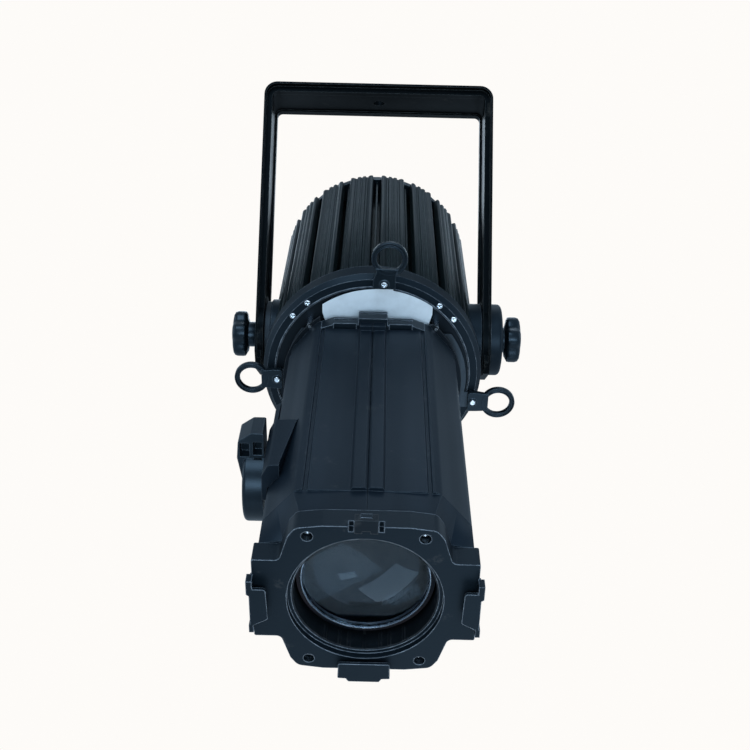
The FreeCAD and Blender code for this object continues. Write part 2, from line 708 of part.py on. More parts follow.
def shell_half(label, sign):
    """One half of the barrel: a shell with a seam ridge and long grooves, narrowed at the front."""
    wall = size("barrel_wall")
    wide = size("barrel_half_width")
    top = size("barrel_top")
    gap = 0.2
    outer = [(gap, -top), (wide - 25.5, -top + 2.0, 7.0), (wide, -37.0, 14.0), (wide, 37.0, 14.0),
             (wide - 25.5, top - 2.0, 7.0), (wide - 30.5, top), (49.8, top), (49.0, top - 1.6),
             (46.6, top - 1.6), (45.8, top), (13.5, top), (11.5, size("ridge_top"), 0.8),
             (2.2, size("ridge_top")), (gap, 70.6)]
    inner = [(gap, top - wall), (9.0, top - wall), (wide - 31.0, top - wall - 1.0),
             (wide - wall - 24.4, top - 2.0 - wall, 5.0), (wide - wall, 35.6, 11.0),
             (wide - wall, -35.6, 11.0), (wide - wall - 24.4, -top + 2.0 + wall, 5.0), (gap, -top + wall)]
    wire = [(sign * x, z, *r) for x, z, *r in outer + inner]
    start = size("collar_back")
    body = slab(label, start, size("barrel_back") - start, [wire])

    # the front collar runs from the octagon to the front plate's outline
    side = [(wide - 0.6, -37.0), (wide - 0.6, 37.0)]
    rear = [(gap, -top), (wide - 25.5, -top + 2.0), (wide - 12.8, -52.0), *side,
            (wide - 12.8, 52.0), (wide - 25.5, top - 2.0), (gap, top)]
    front = [(gap, -top), (50.0, -66.5), (63.0, -39.5), *side, (63.0, 39.5), (50.0, 66.5), (gap, top)]
    sketches = []
    for at, points in ((start + 0.01, rear), (size("barrel_front") + 0.1, front)):
        sketch = sketch_on(body, "XZ_Plane", -at)
        draw(sketch, half_section(points, sign))
        sketches.append(sketch)
    collar = body.newObject("PartDesign::AdditiveLoft", f"{label}_collar")
    collar.Profile = sketches[0]
    collar.Sections = [sketches[1]]
    collar.Ruled = True
    body.Tip = collar
    # a raised block at the rear of the seam ridge
    hump = [(sign * 0.2, 66.5), (sign * 12.5, 66.5), (sign * 12.5, 76.5, 1.0), (sign * 0.2, 76.5)]
    add_pad(body, "XZ_Plane", -(size("barrel_back") - 8.0), 8.0, [hump], reverse=True)
    return body


def make_barrel():
    """Both half shells, and the slotted guide that the focus knob slides along."""
    left = shell_half("barrel_left", -1)
    shell_half("barrel_right", 1)
    y0 = size("focus_y")
    travel = size("focus_travel")
    reach = size("focus_stud_radius") + 0.6
    slot = [(y0 - reach, -reach, 4.0), (y0 + travel + reach, -reach, 4.0), (y0 + travel + reach, reach, 4.0),
            (y0 - reach, reach, 4.0)]
    pocket(left, "YZ_Plane", -size("barrel_half_width") - 2, 12.0, [slot], reverse=True)

    wide = size("barrel_half_width")
    guide = doc.addObject("PartDesign::Body", "focus_guide")
    section = [(-wide - 0.1, -24.0), (-wide - 3.8, -21.0, 1.5), (-wide - 4.3, 34.0, 1.5),
               (-wide - 0.1, 36.5)]
    start = y0 - 20.0
    add_pad(guide, "XZ_Plane", -start, travel + 40.0, [section], reverse=True)
    pocket(guide, "YZ_Plane", -wide - 20, 24.0, [slot], reverse=True)
    # a boxy housing stands on the shoulder, with a slanted inner edge
    box = [(-wide - 0.1, 26.0), (-wide - 4.5, 26.0), (-wide - 3.8, 50.0, 4.0), (-80.5, 60.5, 4.0),
           (-63.0, 61.5, 1.0), (-60.6, 62.4), (-wide + 0.5, 38.0), (-wide - 0.1, 34.0)]
    add_pad(guide, "XZ_Plane", -88.0, 67.0, [box], reverse=True)
    pocket(guide, "XY_Plane", 80.0, 53.9, [[(-55.0, 86.0), (-71.5, 86.0), (-71.5, 92.0), (-62.0, 154.0),
                                            (-55.0, 154.0)]])
    register(guide, "focus_guide")


# ---------------------------------------------------------------- lens tube and focus knob

def make_lens_tube():
    """The sliding tube, its two lenses, the retaining ring, the stud and the winged focus knob."""
    radius = size("lens_tube_radius")
    bore = size("lens_tube_bore")
    front = size("lens_tube_front")
    back = size("lens_tube_back")
    turned("lens_tube", [(bore, front), (radius, front), (radius, back), (49.0, back),
                         (49.0, back - 3.0), (bore, back - 3.0), (bore, front + 16.0),
                         (48.5, front + 16.0), (48.5, front + 13.0), (bore, front + 13.0)])
    turned("lens_retainer", [(49.6, front - 1.4), (50.9, front - 1.4), (51.4, front - 0.2),
                             (51.4, front + 0.6), (49.6, front + 0.6)])
    for label, flat in (("front_lens", front + 12.9), ("rear_lens", back - 3.1)):
        rim = flat - 11.1
        apex = flat - 21.9
        lines = [Part.makeLine(Vector(0, apex, 0), Vector(0, flat, 0)),
                 Part.makeLine(Vector(0, flat, 0), Vector(51.3, flat, 0)),
                 Part.makeLine(Vector(51.3, flat, 0), Vector(51.3, rim, 0)),
                 lens_arc(apex, rim, 51.3)]
        solid(label, Part.Face(Part.Wire(lines)).revolve(Vector(0, 0, 0), Y_AXIS, 360))
    y0 = size("focus_y")
    stud = rod("focus_stud_rod", cell("focus_stud_radius"), 47.0, Vector(-radius - 0.1, y0, 0), -X_AXIS)
    register(stud, "focus_stud", HEAD * stud.Placement)


def lens_arc(apex, rim, radius):
    """The meridian arc of a lens face from its apex on the axis to its rim."""
    sag = rim - apex
    sphere = (radius ** 2 + sag ** 2) / (2 * sag)
    half = math.asin(radius / sphere) / 2
    middle = Vector(sphere * math.sin(half), apex + sphere * (1 - math.cos(half)), 0)
    return Part.Arc(Vector(radius, rim, 0), middle, Vector(0, apex, 0)).toShape()


def make_focus_knob():
    """A moulded drum on the stud with a hollow wing standing on its far side."""
    y0 = size("focus_y")
    near = size("focus_drum_near")
    far = size("focus_drum_far")
    body = doc.addObject("PartDesign::Body", "focus_knob")
    drum = size("focus_drum_radius")
    sketch = sketch_on(body, "XY_Plane")
    draw(sketch, [(-near, y0), (-near, y0 + drum), (-far, y0 + drum, 3.5), (-far, y0)])
    sketch.addGeometry(Part.LineSegment(Vector(-near, y0, 0), Vector(-far, y0, 0)), True)
    feature = body.newObject("PartDesign::Revolution", "focus_drum")
    feature.Profile = sketch
    feature.ReferenceAxis = (sketch, ["Axis0"])
    feature.Angle = 360
    body.Tip = feature
    wing = [(-near, -4.0), (-near, 57.5, 1.5), (-99.5, 57.5, 2.0), (-110.8, 49.5, 3.0), (-112.2, 33.0, 2.0),
            (-far - 0.8, 6.0, 8.0), (-far + 0.3, -14.0), (-far + 4.0, -14.0)]
    add_pad(body, "XZ_Plane", -(y0 - 13.0), 26.0, [wing], reverse=True)
    # two moulded pockets and a shelf on the wing's front face
    for left, right, low, high in ((-109.6, -101.4, 34.0, 47.8), (-98.2, -90.6, 36.0, 49.0),
                                   (-98.2, -90.6, 27.0, 32.5)):
        pocket(body, "XZ_Plane", -(y0 - 14.0), 11.0,
               [[(left, low, 0.8), (right, low, 0.8), (right, high, 0.8), (left, high, 0.8)]])
    pocket(body, "YZ_Plane", -near + 2, 14.5, circles=[(y0, 0, f"{cell('focus_stud_radius')} + 0.06")])
    register(body, "focus_knob")


# ---------------------------------------------------------------- front plate

def plate_outline():
    """The front plate's outline: two side wings and a narrower rounded top and bottom."""
    wing = size("wing_half_width")
    high = size("wing_half_height")
    upper = [(wing, high, 1.5), (64.5, high, 5.0), (57.6, 60.0, 6.0), (52.0, 68.0, 8.0), (32.0, 70.6, 8.0)]
    return mirrored([(x, -z, *r) for x, z, *r in reversed(upper)] + upper)


def add_pads(body, layers):
    """Adds several prisms across the optical axis, each given as (start, depth, outline)."""
    for start, depth, wire in layers:
        add_pad(body, "XZ_Plane", -start, depth, [wire], reverse=True)


def make_front_plate():
    """The casting with its stepped bore, the three L-shaped frame clips, the corner screws and the latch."""
    depth = size("plate_depth")
    body = doc.addObject("PartDesign::Body", "front_plate")
    add_pad(body, "XZ_Plane", 0.0, cell("plate_depth"), [plate_outline()], reverse=True)
    # hollow behind the face
    inner = [(81.0, 33.5, 1.0), (61.0, 33.5, 4.0), (54.5, 52.0, 7.0), (50.0, 63.5, 10.0), (31.0, 66.6, 6.0)]
    ring = inner + [(-x, z, *r) for x, z, *r in reversed(inner)] + [(-x, -z, *r) for x, z, *r in inner] + [
        (x, -z, *r) for x, z, *r in reversed(inner)]
    pocket(body, "XZ_Plane", -depth - 1, depth - size("plate_thickness") + 1, [ring], reverse=True)
    add_pad(body, "XZ_Plane", -5.0, depth - 5.0, circles=[(0, 0, 63.4), (0, 0, 57.6)], reverse=True)
    pocket(body, "XZ_Plane", 1.0, 6.5, circles=[(0, 0, cell("bore_radius"))])
    pocket(body, "XZ_Plane", 1.0, depth + 4, circles=[(0, 0, 56.2)])
    # the feet that the side clips stand on
    foot = [(81.0, -28.0), (86.6, -28.0), (86.6, 20.0), (81.0, 20.0)]
    add_pads(body, [(0.0, 6.0, foot), (0.0, 6.0, [(-x, z) for x, z in foot])])
    # the bottom clip: a floor that stands forward of the face and a lip that rises from its front
    floor = mirrored([(20.4, -69.4), (20.4, -72.0, 1.0), (14.0, -72.3), (12.0, -75.5, 1.5)])
    lip = mirrored([(20.0, -57.0, 1.5), (20.0, -70.4)])
    add_pads(body, [(-9.0, 14.0, floor), (-9.0, 2.6, lip)])
    # counterbored corner holes
    corners = plate_screws_at()
    add_pad(body, "XZ_Plane", -7.0, depth - 7.0, circles=[(x, z, 6.0) for x, z in corners], reverse=True)
    pocket(body, "XZ_Plane", 1.0, 10.0, circles=[(x, z, 4.3) for x, z in corners])
    pocket(body, "XZ_Plane", 1.0, depth + 4, circles=[(x, z, 2.2) for x, z in corners])
    # notches either side of the top latch, and the lug that it turns on
    for sign in (-1, 1):
        pocket(body, "XZ_Plane", 1.0, 8.0, [[(sign * 9.2, 66.0), (sign * 13.0, 66.0), (sign * 13.0, 74.0),
                                             (sign * 9.2, 74.0)]])
    add_pad(body, "XZ_Plane", -0.6, 4.8, [[(-4.7, 69.0), (4.7, 69.0), (4.7, 78.6, 1.0), (-4.7, 78.6, 1.0)]],
            reverse=True)
    pocket(body, "YZ_Plane", 0.0, 40.0, circles=[(LATCH_Y, LATCH_Z, LATCH_PIN + 0.05)], both=True)
    register(body, "front_plate")

    make_side_clips()
    make_latch()


def make_side_clips():
    """The two side clips: a wall on the front plate's edge and a lip that returns towards the bore."""
    wall = [(84.0, -26.0), (87.6, -26.0), (87.6, -19.0), (86.6, -18.0), (86.6, 10.0), (88.6, 11.5),
            (88.6, 24.0), (84.0, 24.0)]
    lip = [(73.0, -12.5, 1.5), (86.0, -20.0), (86.0, 16.5), (74.0, 16.5, 2.5)]
    right = prism(wall, -9.0, 9.0).fuse(prism(lip, -9.0, 2.6)).removeSplitter()
    left = right.mirror(Vector(0, 0, 0), X_AXIS)
    solid("side_clips", Part.makeCompound([left, right]))


def make_latch():
    """The spring latch that keeps a frame in the clips; it turns on a lug on top of the front plate."""
    bar = minus("latch_blank", block("latch_bar", (-8.6, -2.9, 66.5), (8.6, -0.5, 78.6)),
                block("latch_notch", (-3.0, -4.0, 65.0), (3.0, 0.0, 68.5)))
    ears = minus("latch_ears", block("latch_ear_blank", (-8.6, -2.9, 75.1), (8.6, 4.8, 78.6)),
                 block("latch_gap", (-5.0, -0.5, 74.0), (5.0, 6.0, 79.5)))
    pin = rod("latch_pin", LATCH_PIN, 12.0, Vector(-6.0, LATCH_Y, LATCH_Z), X_AXIS)
    register(united("latch_all", bar, ears, pin), "frame_latch")


# ---------------------------------------------------------------- light engine and electronics

def make_inside():
    """Condenser, reflector, chip, heat plate, fan, driver and control board inside the housing."""
    lines = [Part.makeLine(Vector(0, 352.0, 0), Vector(0, 368.0, 0)),
             Part.makeLine(Vector(0, 368.0, 0), Vector(38.0, 368.0, 0)),
             Part.makeLine(Vector(38.0, 368.0, 0), Vector(38.0, 362.0, 0)),
             lens_arc(352.0, 362.0, 38.0)]
    solid("condenser_lens", Part.Face(Part.Wire(lines)).revolve(Vector(0, 0, 0), Y_AXIS, 360))
    turned("condenser_mount", [(38.2, 341.2), (80.0, 341.2), (80.0, 343.2), (42.0, 343.2), (42.0, 371.0),
                               (36.5, 371.0), (36.5, 368.2), (38.2, 368.2)])
    turned("reflector", [(36.6, 371.2), (38.2, 371.2), (21.0, 423.8), (19.4, 423.8)])
    turned("heat_plate", [(0.0, 430.0), (80.2, 430.0), (80.2, 442.0), (0.0, 442.0)])
    board = block("led_board_blank", (-24.0, 427.0, -24.0), (24.0, 430.0, 24.0))
    chip = rod("led_chip", 14.0, 1.2, Vector(0, 425.8, 0), Y_AXIS)
    register(united("led_all", board, chip), "led_module")
    shroud = block("fan_blank", (-40.0, 466.0, -40.0), (40.0, 491.0, 40.0))
    throat = rod("fan_throat", 37.5, 40.0, Vector(0, 460.0, 0), Y_AXIS)
    hub = rod("fan_hub", 14.0, 3.0, Vector(0, 488.0, 0), Y_AXIS)
    spokes = [block("fan_spoke_a", (-39.0, 488.5, -1.5), (39.0, 491.0, 1.5)),
              block("fan_spoke_b", (-1.5, 488.5, -39.0), (1.5, 491.0, 39.0))]
    axle = rod("fan_axle", 1.5, 20.0, Vector(0, 469.0, 0), Y_AXIS)
    standoffs = [rod(f"fan_leg_{index}", 3.0, 24.0, Vector(x, 442.0, z), Y_AXIS)
                 for index, (x, z) in enumerate(((-36, -36), (-36, 36), (36, -36), (36, 36)))]
    frame = united("fan_all", minus("fan_ring", shroud, throat), hub, *spokes, axle, *standoffs)
    register(frame, "fan_frame")
    rotor = Part.makeCylinder(14.0, 16.0, Vector(0, 469.5, 0), Y_AXIS)
    for index in range(7):
        blade = Part.makeBox(23.0, 1.6, 15.0, Vector(12.5, -0.8, -7.5))
        blade.rotate(Vector(0, 0, 0), X_AXIS, 38)
        blade = blade.copy()
        blade.translate(Vector(0, 477.5, 0))
        blade.rotate(Vector(0, 0, 0), Y_AXIS, index * 360.0 / 7)
        rotor = rotor.fuse(blade)
    rotor = rotor.common(Part.makeCylinder(36.0, 17.0, Vector(0, 469.3, 0), Y_AXIS))
    rotor = rotor.cut(Part.makeCylinder(1.55, 30.0, Vector(0, 460.0, 0), Y_AXIS))
    solid("fan_rotor", rotor.removeSplitter())
    tray = block("driver_blank", (-52.0, 510.0, -30.0), (52.0, 580.0, 20.0))
    feet = block("driver_feet", (-60.0, 515.0, -53.0), (60.0, 575.0, -50.0))
    posts = [block(f"driver_post_{index}", (x - 4, 530.0, -51.0), (x + 4, 560.0, -29.0))
             for index, x in enumerate((-40.0, 40.0))]
    register(united("driver_all", tray, feet, *posts), "led_driver")
    board = block("control_blank", (-50.0, 628.5, -20.0), (50.0, 630.1, 56.0))
    chips = [block(f"control_chip_{index}", (x, 624.0, z), (x + 12, 628.6, z + 12))
             for index, (x, z) in enumerate(((-30.0, 0.0), (0.0, 10.0), (20.0, 30.0)))]
    register(united("control_all", board, *chips), "control_board")


# ---------------------------------------------------------------- rear cap

def make_rear_cap():
    """The dished rear cap with its panel cut-outs, and everything that sits in them."""
    back = size("cap_back")
    wall = size("cap_wall")
    start = size("housing_back") + 0.1
    body = turned("rear_cap", [(80.8, start), (103.0, start), (103.0, start + 10.0, 5.0),
                               (94.0, back - 4.0, 3.0), (91.0, back), (87.0, back),
                               (85.0, size("panel_front") + wall),
                               (0.0, size("panel_front") + wall), (0.0, size("panel_front")),
                               (84.0, size("panel_front")), (96.0, start + 9.0), (96.0, start + 4.0),
                               (80.8, start + 4.0)])
    panel = size("panel_front")
    window = [(-28.0, 26.0, 1.5), (28.0, 26.0, 1.5), (28.0, 52.0, 1.5), (-28.0, 52.0, 1.5)]
    holes = [(x, BUTTON_Z, 4.3) for x in BUTTONS.values()]
    holes += [(x, DATA_Z, 12.0) for x in DATA_SOCKETS.values()]
    holes += [(*INLET, 13.0), (*FUSE, 6.2)]
    pocket(body, "XZ_Plane", -panel + 2, 10.0, [window], circles=holes)
    vents = []
    for index in range(7):
        for side, low in ((1, -24.0 + index * 8.0), (-1, -8.0 + index * 8.0)):
            vents.append([(side * 62.0, low, 1.4), (side * 76.0, low, 1.4), (side * 76.0, low + 3.6, 1.4),
                          (side * 62.0, low + 3.6, 1.4)])
    pocket(body, "XZ_Plane", -panel + 2, 10.0, vents)

    skin = panel + wall
    pane = slab("display_window", panel - 1.8, 4.0,
                [[(-27.8, 26.2, 1.4), (27.8, 26.2, 1.4), (27.8, 51.8, 1.4), (-27.8, 51.8, 1.4)]])
    rim = [(-31.0, 23.0, 2.0), (31.0, 23.0, 2.0), (31.0, 55.0, 2.0), (-31.0, 55.0, 2.0)]
    add_pad(pane, "XZ_Plane", -(panel - 3.3), 3.2, [rim], reverse=True)
    for name, x in BUTTONS.items():
        make_button(f"{name}_button", x, BUTTON_Z, skin)
    make_sockets(skin)

    hoop = Part.makeTorus(9.0, 2.2, Vector(0, back + 6.0, EYE_Z), X_AXIS)
    foot = Part.makeCylinder(5.0, 4.2, Vector(0, skin - 1.0, EYE_Z), Y_AXIS)
    keep = Part.makeBox(20, 30, 40, Vector(-10, skin + 0.05, EYE_Z - 20))
    solid("safety_eye", hoop.fuse(foot).common(keep).removeSplitter())


def make_sockets(skin):
    """The mains inlet, the two data sockets and the fuse cap, in a panel whose outer face is at skin."""
    x, z = INLET
    inlet = rod("inlet_body", 12.7, 22.0, Vector(x, skin - 17.0, z), Y_AXIS)
    collar = rod("inlet_collar", 16.0, 2.5, Vector(x, skin, z), Y_AXIS)
    well = rod("inlet_well", 10.6, 16.0, Vector(x, skin - 8.0, z), Y_AXIS)
    key = block("inlet_key", (x - 3.0, skin - 8.0, z - 15.0), (x + 3.0, skin + 5.5, z - 8.4))
    core = rod("inlet_core", 5.0, 11.0, Vector(x, skin - 9.0, z), Y_AXIS)
    hollow = minus("inlet_hollow", united("inlet_shell", inlet, collar), well, key)
    register(united("inlet_all", hollow, core), "power_inlet")

    sockets = []
    for name, x in DATA_SOCKETS.items():
        shell = rod(f"{name}_shell", 11.7, 18.0, Vector(x, skin - 14.0, DATA_Z), Y_AXIS)
        flange = block(f"{name}_flange", (x - 13.0, skin, DATA_Z - 15.5),
                       (x + 13.0, skin + 2.0, DATA_Z + 15.5))
        well = rod(f"{name}_well", 9.6, 20.0, Vector(x, skin - 8.0, DATA_Z), Y_AXIS)
        socket = minus(f"{name}_open", united(f"{name}_outer", shell, flange), well)
        turns = [math.radians(angle) for angle in (90, 210, 330)]
        places = [Vector(x + 5.0 * math.cos(turn), skin - 9.0, DATA_Z + 5.0 * math.sin(turn))
                  for turn in turns]
        if name == "data_in":
            pins = [rod(f"{name}_pin_{index}", 1.2, 9.5, place, Y_AXIS)
                    for index, place in enumerate(places)]
            sockets.append(united(f"{name}_all", socket, *pins))
        else:
            core = rod(f"{name}_core", 8.6, 9.0, Vector(x, skin - 9.0, DATA_Z), Y_AXIS)
            holes = [rod(f"{name}_hole_{index}", 1.4, 12.0, place, Y_AXIS)
                     for index, place in enumerate(places)]
            sockets.append(united(f"{name}_all", socket, minus(f"{name}_face", core, *holes)))
    pair = doc.addObject("Part::Compound", "data_sockets")
    pair.Links = sockets
    register(pair, "data_sockets")

    x, z = FUSE
    shank = rod("fuse_body", 6.0, 20.0, Vector(x, skin - 15.0, z), Y_AXIS)
    head = rod("fuse_head", 8.0, 5.0, Vector(x, skin + 0.1, z), Y_AXIS)
    slot = block("fuse_slot", (x - 6.0, skin + 3.6, z - 0.8), (x + 6.0, skin + 6.0, z + 0.8))
    register(minus("fuse_shape", united("fuse_all", shank, head), slot), "fuse_cap")


def make_button(label, x, z, skin):
    """A push button: a round cap with a flange behind the panel."""
    cap = rod(f"{label}_cap", 4.0, 7.0, Vector(x, skin - 5.0, z), Y_AXIS)
    base = rod(f"{label}_base", 5.4, 1.2, Vector(x, skin - 4.4, z), Y_AXIS)
    register(united(f"{label}_all", cap, base), label)


make_yoke()
make_pivots()
make_housing()
make_flange()
make_gate()
for side, sizes in SHUTTERS.items():
    make_shutter(side, **sizes)
make_barrel()
make_lens_tube()
make_focus_knob()
make_front_plate()
make_casing_screws()
make_inside()
make_rear_cap()

doc.recompute()
faults = [item.Name for item in doc.Objects if "Invalid" in item.State or "Error" in item.State]
for piece in nodes:
    if piece.Shape.isNull() or not piece.Shape.isValid() or not piece.Shape.Solids:
        faults.append(piece.Label)
if faults:
    raise ValueError(f"these objects failed: {faults}")

os.makedirs("parts", exist_ok=True)
for piece in nodes:
    piece.Shape.exportStep(f"parts/{piece.Label}.step")
print(len(nodes), "sub-parts written")
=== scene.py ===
"""Looks of the ellipsoidal spotlight: finishes, moulded and turned detail pieces, stage, lights and camera.

The row frame is in metres: the origin is the clamp hole in the yoke's top bar, +Z is up and -Y is the front.
Head pieces are drawn in millimetres in the head's own frame, whose Y is the optical axis. HEAD carries them
into the row frame.
"""

import json
import math

import bmesh
import bpy
from mathutils import Matrix, Vector


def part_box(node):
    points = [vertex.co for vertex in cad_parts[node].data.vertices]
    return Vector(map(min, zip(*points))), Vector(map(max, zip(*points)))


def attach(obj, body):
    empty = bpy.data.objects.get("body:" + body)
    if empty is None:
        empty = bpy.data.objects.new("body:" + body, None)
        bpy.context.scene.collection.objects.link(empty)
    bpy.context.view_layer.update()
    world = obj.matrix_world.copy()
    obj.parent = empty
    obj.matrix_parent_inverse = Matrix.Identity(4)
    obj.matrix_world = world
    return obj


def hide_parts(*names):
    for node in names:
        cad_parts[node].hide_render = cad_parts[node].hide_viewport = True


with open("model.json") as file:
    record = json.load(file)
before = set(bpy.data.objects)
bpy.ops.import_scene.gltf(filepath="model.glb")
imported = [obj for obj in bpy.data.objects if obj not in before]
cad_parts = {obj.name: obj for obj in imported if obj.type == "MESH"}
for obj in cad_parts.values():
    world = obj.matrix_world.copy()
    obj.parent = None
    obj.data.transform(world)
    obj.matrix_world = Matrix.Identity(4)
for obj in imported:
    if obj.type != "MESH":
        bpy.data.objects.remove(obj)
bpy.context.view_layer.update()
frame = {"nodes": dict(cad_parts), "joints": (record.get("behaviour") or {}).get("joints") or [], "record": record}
NODES = frame["nodes"]
JOINTS = {joint["name"]: joint for joint in frame["joints"]}

MM = 0.001
PIVOT = Vector(JOINTS["tilt"]["pos_m"])
OPTICAL_AXIS = Vector(JOINTS["focus_slide"]["axis"])
TILT = math.atan2(OPTICAL_AXIS.z, OPTICAL_AXIS.y)
PIVOT_Y = 418.0
HEAD = (Matrix.Translation(PIVOT) @ Matrix.Rotation(TILT, 4, "X") @ Matrix.Translation((0, -PIVOT_Y * MM, 0))
        @ Matrix.Scale(MM, 4))


# ---------------------------------------------------------------- finishes

# the cool tint of every finish's gloss, the samples behind its rounded edges, and a coated edge's radius
GLOSS_TINT = (0.54, 0.77, 1.0, 1.0)
BEVEL_SAMPLES = 6
COAT_ROUNDING = 0.0008


class Finish:
    """Builds one procedural material around a Principled shader."""

    def __init__(self, name, colour, roughness, metallic=0.0, specular=0.5):
        self.material = bpy.data.materials.new(name)
        self.material.use_nodes = True
        self.tree = self.material.node_tree
        self.shader = self.tree.nodes["Principled BSDF"]
        self.colour = colour
        self.set("Base Color", (*colour, 1.0))
        self.set("Roughness", roughness)
        self.set("Metallic", metallic)
        self.set("Specular IOR Level", specular)
        self.set("Specular Tint", GLOSS_TINT)
        self.base = None
        self.rough = None
        self.roughness = roughness

    def set(self, socket, value):
        """Puts a constant straight on the shader."""
        self.shader.inputs[socket].default_value = value

    def node(self, kind):
        """A new node."""
        return self.tree.nodes.new(kind)

    def link(self, output, target):
        """Joins an output to an input."""
        self.tree.links.new(output, target)

    def where(self, stretch, tilted):
        """Object coordinates, turned into the head's own axes if asked, and stretched."""
        place = self.node("ShaderNodeTexCoord")
        mapping = self.node("ShaderNodeMapping")
        mapping.vector_type = "POINT"
        if tilted:
            turn = self.node("ShaderNodeMapping")
            turn.inputs["Rotation"].default_value = (-TILT, 0, 0)
            self.link(place.outputs["Object"], turn.inputs["Vector"])
            self.link(turn.outputs["Vector"], mapping.inputs["Vector"])
        else:
            self.link(place.outputs["Object"], mapping.inputs["Vector"])
        mapping.inputs["Scale"].default_value = stretch
        return mapping.outputs["Vector"]

    def noise(self, scale, detail=3.0, roughness=0.55, stretch=(1.0, 1.0, 1.0), tilted=False):
        """A noise pattern's value."""
        noise = self.node("ShaderNodeTexNoise")
        noise.inputs["Scale"].default_value = scale
        noise.inputs["Detail"].default_value = detail
        noise.inputs["Roughness"].default_value = roughness
        self.link(self.where(stretch, tilted), noise.inputs["Vector"])
        return noise.outputs["Fac"]

    def ramp(self, value, low, high, start=0.0, end=1.0):
        """Maps a value from low..high to start..end, held at both ends."""
        scaled = self.node("ShaderNodeMapRange")
        scaled.clamp = True
        for key, number in (("From Min", low), ("From Max", high), ("To Min", start), ("To Max", end)):
            scaled.inputs[key].default_value = number
        self.link(value, scaled.inputs["Value"])
        return scaled.outputs["Result"]

    def maths(self, operation, first, second):
        """A Math node of two values, each an output or a number."""
        made = self.node("ShaderNodeMath")
        made.operation = operation
        for index, value in enumerate((first, second)):
            if isinstance(value, (int, float)):
                made.inputs[index].default_value = value
            else:
                self.link(value, made.inputs[index])
        return made.outputs[0]

    def tint(self, mask, colour):
        """Mixes another colour over the base where the mask is 1."""
        mix = self.node("ShaderNodeMix")
        mix.data_type = "RGBA"
        if self.base is None:
            mix.inputs["A"].default_value = (*self.colour, 1.0)
        else:
            self.link(self.base, mix.inputs["A"])
        mix.inputs["B"].default_value = (*colour, 1.0)
        self.link(mask, mix.inputs["Factor"])
        self.base = mix.outputs["Result"]
        self.link(self.base, self.shader.inputs["Base Color"])

    def rough_by(self, value, low, high, start, end):
        """Drives the roughness from a pattern."""
        self.rough = self.ramp(value, low, high, start, end)
        self.link(self.rough, self.shader.inputs["Roughness"])

    def rough_where(self, mask, roughness):
        """Sets another roughness where the mask is 1."""
        mix = self.node("ShaderNodeMix")
        mix.data_type = "FLOAT"
        if self.rough is None:
            mix.inputs["A"].default_value = self.roughness
        else:
            self.link(self.rough, mix.inputs["A"])
        mix.inputs["B"].default_value = roughness
        self.link(mask, mix.inputs["Factor"])
        self.rough = mix.outputs["Result"]
        self.link(self.rough, self.shader.inputs["Roughness"])

    def edges(self, radius):
        """1 on edges and 0 on flats, from the difference between a rounded normal and the true one."""
        bevel = self.node("ShaderNodeBevel")
        bevel.samples = BEVEL_SAMPLES
        bevel.inputs["Radius"].default_value = radius
        geometry = self.node("ShaderNodeNewGeometry")
        dot = self.node("ShaderNodeVectorMath")
        dot.operation = "DOT_PRODUCT"
        self.link(bevel.outputs["Normal"], dot.inputs[0])
        self.link(geometry.outputs["Normal"], dot.inputs[1])
        return self.ramp(dot.outputs["Value"], 0.975, 0.84)

    def relief(self, *layers, round_edges=0.0006):
        """Bumps from (value, strength, height) layers, over edges rounded by a small radius."""
        bevel = self.node("ShaderNodeBevel")
        bevel.samples = BEVEL_SAMPLES
        bevel.inputs["Radius"].default_value = round_edges
        normal = bevel.outputs["Normal"]
        for value, strength, height in layers:
            bump = self.node("ShaderNodeBump")
            bump.inputs["Strength"].default_value = strength
            bump.inputs["Distance"].default_value = height
            self.link(value, bump.inputs["Height"])
            self.link(normal, bump.inputs["Normal"])
            normal = bump.outputs["Normal"]
        self.link(normal, self.shader.inputs["Normal"])


def shade(colour, factor, extra=0.0):
    """The colour multiplied by a factor, with a little added."""
    return tuple(channel * factor + extra for channel in colour)


def coated(name, colour, roughness, grain=900.0, grain_height=0.00012, edge_wear_and_highlight=(0.16, 0.17, 0.18),
           edge_wear_and_highlight_amount=0.5, streak=None, specular=0.24):
    """Black coat on metal: fine grain, cloudy gloss or soft bands, dusty patches, and edges painted lighter in
    patches, partly as wear and partly as a painted highlight.
    """
    finish = Finish(name, colour, roughness, specular=specular)
    cloud = finish.noise(9.0, 4.0, 0.6)
    dust = finish.noise(38.0, 5.0, 0.7)
    grain_value = finish.noise(grain, 2.0, 0.5)
    finish.tint(finish.ramp(cloud, 0.35, 0.75, 0.0, 0.55), shade(colour, 1.55, 0.002))
    finish.tint(finish.ramp(dust, 0.62, 0.8, 0.0, 0.16), (0.20, 0.20, 0.19))
    if streak:
        bands = finish.noise(34.0, 2.0, 0.45, stretch=streak, tilted=True)
        finish.tint(finish.ramp(bands, 0.42, 0.72, 0.0, 0.5), shade(colour, 2.2, 0.004))
        finish.rough_by(bands, 0.3, 0.7, roughness + 0.06, roughness - 0.05)
    else:
        finish.rough_by(cloud, 0.3, 0.7, roughness - 0.06, roughness + 0.08)
    # painted highlight: the edges are painted lighter in patches, partly wear and partly the light that rounded
    # edges catch
    edge = finish.edges(COAT_ROUNDING * 1.6)
    patch = finish.ramp(finish.noise(120.0, 3.0, 0.7), 0.36, 0.62, 0.35, 1.0)
    edge_wear_and_highlight_mask = finish.maths("MULTIPLY", edge, finish.maths("MULTIPLY", patch, edge_wear_and_highlight_amount))
    finish.tint(edge_wear_and_highlight_mask, edge_wear_and_highlight)
    finish.relief((grain_value, 0.35, grain_height), (dust, 0.12, 0.0002), round_edges=COAT_ROUNDING)
    return finish.material


